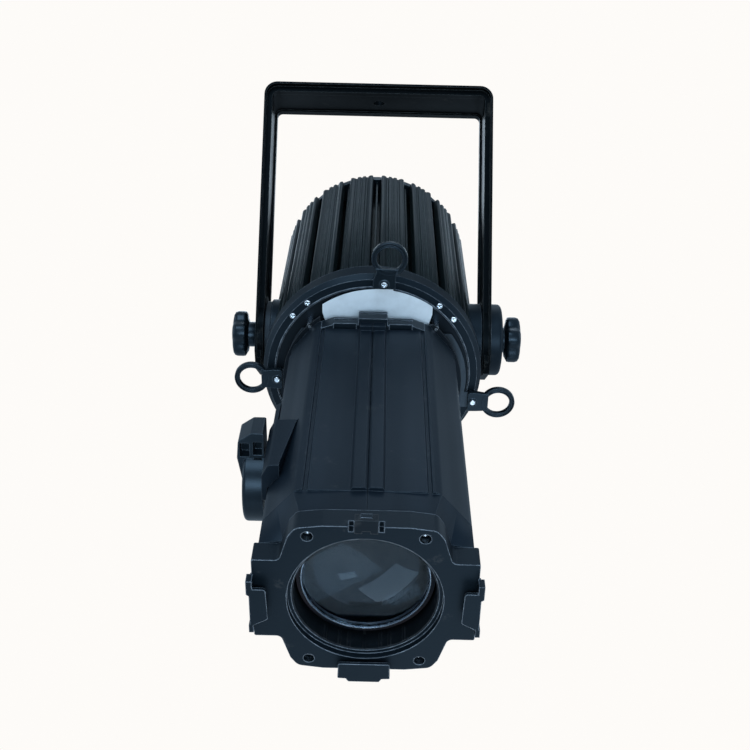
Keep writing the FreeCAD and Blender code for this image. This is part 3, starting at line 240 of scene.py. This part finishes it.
def moulded(name, colour, roughness, round_edges=0.0009):
    """Moulded plastic or rubber: fine grain, faint flow marks, and shinier edges with a painted highlight tinted
    on them.
    """
    finish = Finish(name, colour, roughness, specular=0.42)
    flow = finish.noise(22.0, 4.0, 0.6, stretch=(1.0, 1.0, 0.35))
    grain_value = finish.noise(1600.0, 2.0, 0.5)
    finish.tint(finish.ramp(flow, 0.4, 0.75, 0.0, 0.5), shade(colour, 1.5, 0.003))
    finish.rough_by(flow, 0.3, 0.7, roughness - 0.05, roughness + 0.07)
    edge = finish.edges(round_edges * 1.8)
    # painted highlight: a light blue-grey tint on the edges
    finish.tint(finish.maths("MULTIPLY", edge, 0.55), (0.07, 0.095, 0.12))
    finish.rough_where(edge, roughness - 0.12)
    finish.relief((grain_value, 0.3, 0.00008), round_edges=round_edges)
    return finish.material


def brushed(name, colour, roughness, stretch=(1.0, 1.0, 1.0), metallic=1.0):
    """Bright metal with fine brushed or turned lines and slight tarnish."""
    finish = Finish(name, colour, roughness, metallic=metallic)
    lines = finish.noise(400.0, 3.0, 0.6, stretch=stretch, tilted=True)
    tarnish = finish.noise(55.0, 4.0, 0.6)
    finish.tint(finish.ramp(tarnish, 0.45, 0.8, 0.0, 0.45), shade(colour, 0.62))
    finish.rough_by(lines, 0.3, 0.7, roughness - 0.08, roughness + 0.12)
    finish.relief((lines, 0.25, 0.00005), round_edges=0.0003)
    return finish.material


def lens_glass():
    """Polished optical glass, slightly grey, with faint smears."""
    finish = Finish("lens_glass", (0.52, 0.58, 0.62), 0.01, specular=0.5)
    finish.set("Transmission Weight", 1.0)
    finish.set("IOR", 1.46)
    smear = finish.noise(26.0, 3.0, 0.6)
    finish.tint(finish.ramp(smear, 0.55, 0.8, 0.0, 0.12), (0.44, 0.50, 0.56))
    return finish.material


def tube_lining():
    """Satin black lining with no grain, because the lens would enlarge it, with reddish clouds painted on it as
    the warm reflection seen through the lens.
    """
    finish = Finish("tube_lining", (0.004, 0.005, 0.007), 0.5, specular=0.3)
    cloud = finish.noise(14.0, 3.0, 0.5)
    # painted reflection: reddish clouds that stand in for a warm reflection inside the lens
    finish.tint(finish.ramp(cloud, 0.4, 0.75, 0.0, 0.7), (0.03, 0.018, 0.016))
    finish.rough_by(cloud, 0.3, 0.7, 0.45, 0.6)
    return finish.material


def ring_metal():
    """Dark anodised metal, turned, with a polished edge."""
    finish = Finish("ring_metal", (0.34, 0.41, 0.49), 0.24, metallic=0.9)
    lines = finish.noise(900.0, 2.0, 0.5, stretch=(0.2, 1.0, 0.2), tilted=True)
    finish.rough_by(lines, 0.3, 0.7, 0.18, 0.32)
    finish.relief((lines, 0.15, 0.00004), round_edges=0.0003)
    return finish.material


# each coat's edge colour is painted on its rounded edges in patches: partly wear, partly a painted highlight
MATERIALS = {
    "yoke_coat": coated("yoke_coat", (0.0008, 0.0013, 0.0015), 0.42, grain=1100.0, edge_wear_and_highlight=(0.06, 0.07, 0.075),
                        edge_wear_and_highlight_amount=0.7, specular=0.055),
    "cast_black": coated("cast_black", (0.0030, 0.0058, 0.0088), 0.42, grain=700.0, grain_height=0.00014,
                         edge_wear_and_highlight=(0.28, 0.34, 0.41), edge_wear_and_highlight_amount=0.85, specular=0.22),
    "housing_black": coated("housing_black", (0.0020, 0.0046, 0.0052), 0.40, grain=1300.0,
                            edge_wear_and_highlight=(0.08, 0.11, 0.115), edge_wear_and_highlight_amount=0.8, streak=(1.0, 0.03, 1.0),
                            specular=0.12),
    "barrel_black": coated("barrel_black", (0.0030, 0.0060, 0.0100), 0.42, grain=1000.0,
                           edge_wear_and_highlight=(0.07, 0.09, 0.11), streak=(1.0, 0.05, 1.0), specular=0.2),
    "inner_black": coated("inner_black", (0.003, 0.0042, 0.0056), 0.46, grain_height=0.00004,
                          edge_wear_and_highlight_amount=0.25),
    "moulded_black": moulded("moulded_black", (0.0018, 0.0037, 0.0054), 0.31),
    "socket_plastic": moulded("socket_plastic", (0.01, 0.01, 0.011), 0.45),
    "fan_plastic": moulded("fan_plastic", (0.01, 0.01, 0.01), 0.45),
    "button_rubber": moulded("button_rubber", (0.03, 0.03, 0.031), 0.7),
    "bush_nylon": moulded("bush_nylon", (0.012, 0.013, 0.014), 0.5),
    "driver_case": moulded("driver_case", (0.18, 0.18, 0.19), 0.5),
    "bright_screw": brushed("bright_screw", (0.80, 0.84, 0.88), 0.22),
    "shutter_steel": brushed("shutter_steel", (0.60, 0.69, 0.76), 0.5, stretch=(1.0, 1.0, 0.1),
                             metallic=0.1),
    "bare_aluminium": brushed("bare_aluminium", (0.8, 0.81, 0.82), 0.3),
    "lens_glass": lens_glass(),
    "chip_board": moulded("chip_board", (0.03, 0.12, 0.06), 0.5),
    "display_plastic": moulded("display_plastic", (0.012, 0.016, 0.022), 0.08, round_edges=0.0004),
}
RING_METAL = ring_metal()
TUBE_LINING = tube_lining()
TEMPERED_STEEL = brushed("tempered_steel", (0.05, 0.065, 0.08), 0.42, stretch=(1.0, 1.0, 0.1),
                         metallic=0.6)

# the tube is lined so that the lens shows no grain; the side and bottom blades are tempered dark by heat
OWN_MATERIALS = {
    "lens_tube": TUBE_LINING,
    "left_blade": TEMPERED_STEEL,
    "right_blade": TEMPERED_STEEL,
    "bottom_blade": TEMPERED_STEEL,
}

for part in frame["record"]["subparts"]:
    name = part["node"]
    mesh = NODES[name].data
    mesh.materials.clear()
    mesh.materials.append(OWN_MATERIALS.get(name, MATERIALS[part["material_slot"]]))


# ---------------------------------------------------------------- building pieces

def lathe(profile, segments=128, closed=True):
    """A mesh turned about the Y axis; the profile's points are (radius, y) in millimetres."""
    bm = bmesh.new()
    rings = []
    for radius, y in profile:
        if radius < 1e-6:
            rings.append([bm.verts.new((0.0, y, 0.0))])
            continue
        turns = [2 * math.pi * index / segments for index in range(segments)]
        rings.append([bm.verts.new((radius * math.sin(turn), y, radius * math.cos(turn))) for turn in turns])
    pairs = list(zip(rings, rings[1:]))
    if closed:
        pairs.append((rings[-1], rings[0]))
    for first, second in pairs:
        for index in range(segments):
            after = (index + 1) % segments
            corners = [first[index % len(first)], first[after % len(first)],
                       second[after % len(second)], second[index % len(second)]]
            corners = list(dict.fromkeys(corners))
            if len(corners) > 2:
                bm.faces.new(corners)
    return bm


def prism(bm, outline, front, back):
    """Adds a plate to a mesh; its outline's points are (x, z), from y = front to y = back."""
    near = [bm.verts.new((x, front, z)) for x, z in outline]
    far = [bm.verts.new((x, back, z)) for x, z in outline]
    bm.faces.new(near)
    bm.faces.new(reversed(far))
    for index in range(len(near)):
        after = (index + 1) % len(near)
        bm.faces.new((near[index], far[index], far[after], near[after]))


def merge(target, source, place=Matrix.Identity(4)):
    """Copies one mesh into another, moved by a matrix, and frees the source."""
    source.transform(place)
    copy = bpy.data.meshes.new("merging")
    source.to_mesh(copy)
    source.free()
    target.from_mesh(copy)
    bpy.data.meshes.remove(copy)


def add_piece(name, bm, body, slot, replaced=(), sharp=35.0, bevel=0.0, material=None):
    """Makes a piece from a mesh drawn in millimetres in the head's frame, and lets it ride on a body."""
    bm.transform(HEAD)
    bmesh.ops.recalc_face_normals(bm, faces=bm.faces)
    mesh = bpy.data.meshes.new(name)
    bm.to_mesh(mesh)
    bm.free()
    mesh.polygons.foreach_set("use_smooth", [True] * len(mesh.polygons))
    mesh.set_sharp_from_angle(angle=math.radians(sharp))
    mesh.materials.append(material or MATERIALS[slot])
    piece = bpy.data.objects.new(name, mesh)
    bpy.context.scene.collection.objects.link(piece)
    if bevel:
        rounding = piece.modifiers.new("rounding", "BEVEL")
        rounding.width = bevel
        rounding.segments = 3
        rounding.limit_method = "ANGLE"
        rounding.angle_limit = math.radians(30)
        rounding.harden_normals = True
    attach(piece, body)
    if replaced:
        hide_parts(*replaced)


# ---------------------------------------------------------------- lenses, sleeve and retaining ring

LENS_RADIUS = 51.3
LENS_SAG = 10.8
LENS_RIM = 11.1
LENS_STEPS = 36
# the ribs' places round the liner and half of one rib's width, in degrees; the one at the bottom is a seam
SLEEVE_RIBS = (0, 13, -13, 21, -21, 34, -34)
RIB_HALF_WIDTH = 1.3
RIB_HEIGHT = 0.45
SEAM_DEPTH = 0.35


def make_lens(name, flat, node):
    """A plano-convex lens with a truly round front, a ground bevel and a flat back."""
    curve = (LENS_RADIUS ** 2 + LENS_SAG ** 2) / (2 * LENS_SAG)
    rim = flat - LENS_RIM
    profile = [(0.0, rim - LENS_SAG)]
    for step in range(1, LENS_STEPS + 1):
        radius = (LENS_RADIUS - 0.5) * step / LENS_STEPS
        profile.append((radius, rim - LENS_SAG + curve - math.sqrt(curve ** 2 - radius ** 2)))
    profile += [(LENS_RADIUS, rim + 0.4), (LENS_RADIUS, flat - 0.5), (LENS_RADIUS - 0.5, flat), (0.0, flat)]
    add_piece(name, lathe(profile, 192, closed=False), "focus_carriage", "lens_glass", (node,), sharp=20.0)


def make_sleeve():
    """The liner between the front plate and the lens tube, with shallow ribs and a seam along its floor."""
    bm = lathe([(55.1, 6.2), (55.1, 22.0), (55.5, 22.6), (55.5, 62.0), (56.1, 62.0), (56.1, 6.2)], 720)
    for vert in bm.verts:
        radius = math.hypot(vert.co.x, vert.co.z)
        if radius > 55.8 or vert.co.y > 61.0:
            continue
        turn = math.degrees(math.atan2(vert.co.x, -vert.co.z))
        near = min(abs(turn - rib) for rib in SLEEVE_RIBS)
        if near < RIB_HALF_WIDTH:
            lift = -SEAM_DEPTH if abs(turn) < RIB_HALF_WIDTH else RIB_HEIGHT
            vert.co.x *= 1.0 - lift / radius
            vert.co.z *= 1.0 - lift / radius
    add_piece("bore_sleeve", bm, "head", "inner_black")


def make_lens_ring():
    """The rounded ring that holds the front lens in its tube."""
    profile = [(49.6, 24.1), (49.9, 23.6), (50.4, 23.5), (50.9, 23.7), (51.35, 24.3), (51.4, 25.6),
               (49.6, 25.6)]
    add_piece("lens_ring", lathe(profile, 192), "focus_carriage", "inner_black", ("lens_retainer",),
              material=RING_METAL)


# ---------------------------------------------------------------- shutter handles and tilt knobs

# each handle's turn about the optical axis in degrees, where its stem and its ring stand to the side of that
# direction, its layer counted from the front, and how far it is pushed in at rest
HANDLES = {
    "top": {"angle": 0, "stem": 10.0, "ring": 14.5, "layer": 0, "pushed": -4.0},
    "right": {"angle": 90, "stem": 26.0, "ring": 27.0, "layer": 3, "pushed": 0.0},
    "bottom": {"angle": 180, "stem": -6.0, "ring": -8.0, "layer": 1, "pushed": 0.0},
    "left": {"angle": 270, "stem": -3.0, "ring": -3.0, "layer": 2, "pushed": 7.5},
}
RING_Z = 130.0
SCREW_Z = 104.0
RING_THICKNESS = 6.0
STEM_THICKNESS = 5.1
STEM_HALF_WIDTH = 11.0
STEM_CUT_RADIUS = 13.2
# the back of the first layer's ring, and the distance from one layer to the next
FIRST_LAYER_BACK = 330.9
LAYER_STEP = 1.7


def make_handle(side, angle, stem, ring, layer, pushed):
    """A moulded finger ring with a bead round its inner and outer edges, its tapered stem and screw seat."""
    front = FIRST_LAYER_BACK + LAYER_STEP * layer - RING_THICKNESS
    half = [(12.2, 3.0), (12.2, 1.3), (12.45, 0.5), (13.0, 0.1), (13.5, 0.35), (13.8, 1.0), (14.1, 1.5),
            (15.5, 1.5), (15.8, 1.0), (16.1, 0.35), (16.7, 0.1), (17.25, 0.5), (17.5, 1.3), (17.5, 3.0)]
    loop = half + [(radius, RING_THICKNESS - y) for radius, y in reversed(half[1:-1])]
    bm = lathe(loop, 96)
    bm.transform(Matrix.Translation((ring, front, RING_Z)))
    middle = (stem + ring) / 2
    throat = STEM_HALF_WIDTH * 0.88
    left_edge = stem - STEM_HALF_WIDTH
    right_edge = stem + STEM_HALF_WIDTH
    plate = bmesh.new()
    outline = [(left_edge + 1.5, 99.0), (right_edge - 1.5, 99.0), (right_edge, 100.5),
               (right_edge - 0.2, 108.0), (middle + throat, RING_Z - 12.5),
               (middle + throat + 0.8, RING_Z - 10.0), (middle - throat - 0.8, RING_Z - 10.0),
               (middle - throat, RING_Z - 12.5), (left_edge + 0.2, 108.0), (left_edge, 100.5)]
    prism(plate, outline, front, front + STEM_THICKNESS)
    for vert in plate.verts:
        # the stem's end is cut to the ring's own circle, so that nothing stands in the finger hole
        across = vert.co.x - ring
        high = vert.co.z - RING_Z
        reach = math.hypot(across, high)
        if reach < STEM_CUT_RADIUS:
            vert.co.x = ring + across * STEM_CUT_RADIUS / reach
            vert.co.z = RING_Z + high * STEM_CUT_RADIUS / reach
    merge(bm, plate)
    screw_seat = lathe([(3.3, 0.0), (3.5, -0.35), (4.4, -0.35), (4.8, 0.0), (4.8, 0.6), (3.3, 0.6)], 48)
    merge(bm, screw_seat, Matrix.Translation((stem, front, SCREW_Z)))
    bm.transform(Matrix.Rotation(math.radians(angle), 4, "Y") @ Matrix.Translation((0, 0, -pushed)))
    add_piece(f"{side}_finger_ring", bm, f"{side}_shutter", "moulded_black", (f"{side}_shutter_handle",),
              bevel=0.0005)


KNOB_LOBES = 5
KNOB_SEGMENTS = 120
LOBE_DEPTH = 4.6
KNOB_GRIP_LENGTH = 16.5


def make_tilt_knob(side, sign):
    """A five-lobed moulded knob with a stepped collar, a domed face and a round cap in its middle."""
    low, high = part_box(f"{side}_tilt_knob")
    inner = abs(low.x if sign > 0 else high.x) / MM
    outer = abs(high.x if sign > 0 else low.x) / MM
    length = outer - inner
    grip = length - KNOB_GRIP_LENGTH
    # each ring of the knob: its distance out, its radius and how deep its lobes are
    rings = [(0.0, 13.0, 0.0), (0.6, 13.5, 0.0), (grip - 1.6, 13.5, 0.0), (grip - 1.2, 15.0, 0.0),
             (grip - 0.4, 17.5, 0.25), (grip + 0.2, 22.0, 0.8), (grip + 1.6, 24.6, 1.0),
             (grip + 4.0, 25.0, 1.0), (length - 6.5, 25.0, 1.0), (length - 3.6, 24.0, 1.0),
             (length - 2.0, 21.5, 0.9), (length - 1.1, 17.0, 0.5), (length - 0.7, 12.5, 0.1),
             (length - 0.9, 10.6, 0.0), (length - 0.3, 10.0, 0.0), (length, 8.6, 0.0)]
    bm = bmesh.new()
    loops = []
    for out, radius, lobes in rings:
        loop = []
        for index in range(KNOB_SEGMENTS):
            turn = 2 * math.pi * index / KNOB_SEGMENTS
            dip = lobes * LOBE_DEPTH * (0.5 - 0.5 * math.cos(KNOB_LOBES * turn)) ** 1.6
            reach = radius - dip
            loop.append(bm.verts.new((sign * (inner + out), PIVOT_Y + reach * math.cos(turn),
                                      reach * math.sin(turn))))
        loops.append(loop)
    for first, second in zip(loops, loops[1:]):
        for index in range(KNOB_SEGMENTS):
            after = (index + 1) % KNOB_SEGMENTS
            bm.faces.new((first[index], first[after], second[after], second[index]))
    bm.faces.new(loops[0])
    bm.faces.new(loops[-1])
    add_piece(f"{side}_knob_grip", bm, f"{side}_knob", "moulded_black", (f"{side}_tilt_knob",), sharp=50.0)


make_lens("front_glass", 37.9, "front_lens")
make_lens("rear_glass", 184.9, "rear_lens")
make_sleeve()
make_lens_ring()
for side, sizes in HANDLES.items():
    make_handle(side, **sizes)
make_tilt_knob("left", -1)
make_tilt_knob("right", 1)


# ---------------------------------------------------------------- stage, light and camera

FLOOR_HEIGHT = -1.75
FLOOR_RADIUS = 14.0
FADE_FROM = 2.0
FADE_TO = 4.6


def make_stage():
    """A wide pale floor well below the hanging lamp, which fades into the background with distance."""
    bm = bmesh.new()
    bmesh.ops.create_circle(bm, cap_ends=True, cap_tris=True, segments=96, radius=FLOOR_RADIUS)
    mesh = bpy.data.meshes.new("floor")
    bm.to_mesh(mesh)
    bm.free()
    floor = bpy.data.objects.new("floor", mesh)
    bpy.context.scene.collection.objects.link(floor)
    floor.location.z = FLOOR_HEIGHT
    floor.visible_glossy = False
    finish = Finish("floor_paint", (0.82, 0.68, 0.58), 0.8, specular=0.2)
    finish.set("Emission Color", (1.0, 0.965, 0.93, 1.0))
    finish.set("Emission Strength", 0.58)
    place = finish.node("ShaderNodeTexCoord")
    length = finish.node("ShaderNodeVectorMath")
    length.operation = "LENGTH"
    finish.link(place.outputs["Object"], length.inputs[0])
    fade = finish.ramp(length.outputs["Value"], FADE_FROM, FADE_TO, 1.0, 0.0)
    finish.link(fade, finish.shader.inputs["Alpha"])
    mesh.materials.append(finish.material)


def make_world():
    """A pale, even background that lights the lamp only softly."""
    world = bpy.data.worlds.new("studio")
    bpy.context.scene.world = world
    world.use_nodes = True
    tree = world.node_tree
    tree.nodes.clear()
    seen = tree.nodes.new("ShaderNodeBackground")
    seen.inputs["Color"].default_value = (0.985, 0.965, 0.94, 1.0)
    seen.inputs["Strength"].default_value = 1.0
    lit = tree.nodes.new("ShaderNodeBackground")
    lit.inputs["Color"].default_value = (0.60, 0.80, 1.0, 1.0)
    lit.inputs["Strength"].default_value = 0.55
    path = tree.nodes.new("ShaderNodeLightPath")
    mix = tree.nodes.new("ShaderNodeMixShader")
    out = tree.nodes.new("ShaderNodeOutputWorld")
    tree.links.new(path.outputs["Is Camera Ray"], mix.inputs["Fac"])
    tree.links.new(lit.outputs[0], mix.inputs[1])
    tree.links.new(seen.outputs[0], mix.inputs[2])
    tree.links.new(mix.outputs[0], out.inputs["Surface"])


# each light's name, place in the row frame, width, height and power; all of them face the lamp's middle
COOL_WHITE = (0.72, 0.87, 1.0)
LAMP_MIDDLE = (0.0, -0.12, -0.35)
SOFT_BOXES = (
    ("key_light", (-0.7, -2.0, 1.3), 1.6, 1.2, 26.0),
    ("top_light", (0.3, 0.9, 1.9), 1.4, 0.5, 5.0),
    ("left_light", (-2.0, -0.2, 0.1), 0.6, 1.6, 6.0),
    ("right_light", (2.0, -0.1, 0.2), 0.6, 1.6, 4.5),
    ("front_light", (0.2, -2.1, -0.9), 1.6, 0.7, 24.0),
    ("left_back_light", (-0.5, 2.4, 0.9), 1.0, 1.0, 10.0),
    ("right_back_light", (0.5, 2.4, 0.6), 1.0, 1.0, 7.0),
)
# the same for two weak cards that give the lens its pale reflections, with places in the head's frame
LENS_MIDDLE = (0.0, 38.0, 0.0)
LENS_CARDS = (
    ("left_card", (290.0, -840.0, -760.0), 0.44, 0.7, 1.15),
    ("right_card", (-235.0, -922.0, -600.0), 0.24, 0.11, 0.11),
)


def area_light(name, place, target, width, height, power):
    """A soft box at a place, facing a target, hidden from the camera."""
    data = bpy.data.lights.new(name, "AREA")
    data.shape = "RECTANGLE"
    data.size = width
    data.size_y = height
    data.energy = power
    data.color = COOL_WHITE
    light = bpy.data.objects.new(name, data)
    bpy.context.scene.collection.objects.link(light)
    light.location = place
    direction = Vector(target) - Vector(place)
    light.rotation_mode = "QUATERNION"
    light.rotation_quaternion = direction.to_track_quat("-Z", "Y")
    light.visible_camera = False


def make_lights():
    """Soft boxes above and below in front, overhead, beside and behind, and the two cards for the lens."""
    for name, place, width, height, power in SOFT_BOXES:
        area_light(name, place, LAMP_MIDDLE, width, height, power)
    for name, place, width, height, power in LENS_CARDS:
        area_light(name, HEAD @ Vector(place), HEAD @ Vector(LENS_MIDDLE), width, height, power)


CAMERA_PLACE = (5.0, -616.9, 561.4)
CAMERA_PITCH = 30.49
CAMERA_YAW = -0.12
CAMERA_ROLL = 1.28
CAMERA_LENS = 51.91


def make_camera():
    """The camera in front of the lamp; its place and its angles are in the head's frame."""
    data = bpy.data.cameras.new("camera")
    data.sensor_width = 36.0
    data.lens = CAMERA_LENS
    data.clip_start = 0.05
    data.clip_end = 60.0
    camera = bpy.data.objects.new("camera", data)
    bpy.context.scene.collection.objects.link(camera)
    place = HEAD @ Vector(CAMERA_PLACE)
    pitch = math.radians(CAMERA_PITCH)
    yaw = math.radians(CAMERA_YAW)
    roll = math.radians(CAMERA_ROLL)
    ahead = Vector((math.sin(yaw) * math.cos(pitch), math.cos(yaw) * math.cos(pitch), -math.sin(pitch)))
    right = ahead.cross(Vector((0, 0, 1))).normalized()
    up = right.cross(ahead)
    turned_right = right * math.cos(roll) + up * math.sin(roll)
    turned_up = up * math.cos(roll) - right * math.sin(roll)
    turn = Matrix.Rotation(TILT, 3, "X") @ Matrix((turned_right, turned_up, -ahead)).transposed()
    camera.matrix_world = Matrix.Translation(place) @ turn.to_4x4()
    bpy.context.scene.camera = camera


make_stage()
make_world()
make_lights()
make_camera()
bpy.context.scene.view_settings.view_transform = "Standard"

bpy.context.view_layer.update()
